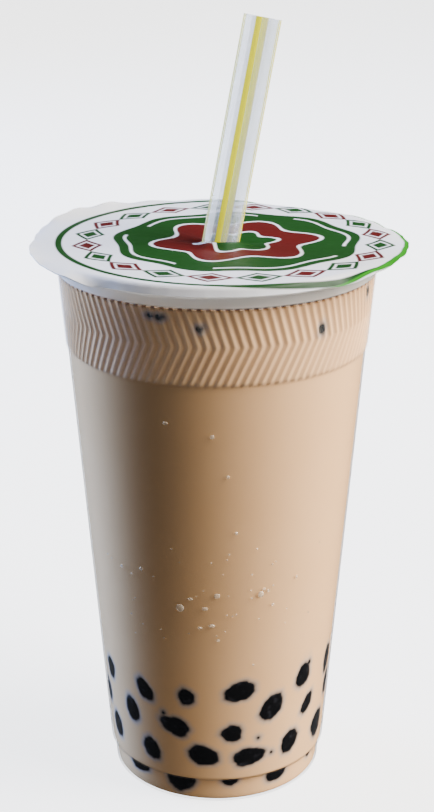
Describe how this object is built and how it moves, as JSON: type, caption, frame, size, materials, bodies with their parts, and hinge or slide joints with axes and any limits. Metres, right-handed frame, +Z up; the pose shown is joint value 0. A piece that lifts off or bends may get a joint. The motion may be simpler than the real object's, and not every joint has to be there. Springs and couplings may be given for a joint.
{
  "type": "bubble tea",
  "caption": "Milk tea with tapioca pearls in a tall clear plastic cup with a chevron-ribbed band, sealed with a printed film lid and pierced by a wide straw.",
  "frame": {"origin": "centre of the cup's flat underside", "axes": "+Z up along the cup's axis; -Y faces the viewer; +X is the side the straw leans to"},
  "size_m": [0.1057, 0.1019, 0.2242],
  "materials": {
    "clear_cup": "clear polypropylene, slightly cloudy, smooth",
    "milk_tea": "opaque milky tea, smooth",
    "tapioca": "wet, soft, almost black",
    "lid_film": "white heat-seal film with a green and red print, satin",
    "straw_plastic": "milky translucent polypropylene with yellow stripes"
  },
  "bodies": {
    "root": {"cup": "clear_cup", "milk_tea": "milk_tea", "pearls": "tapioca", "film_lid": "lid_film", "straw": "straw_plastic"}
  },
  "joints": []
}
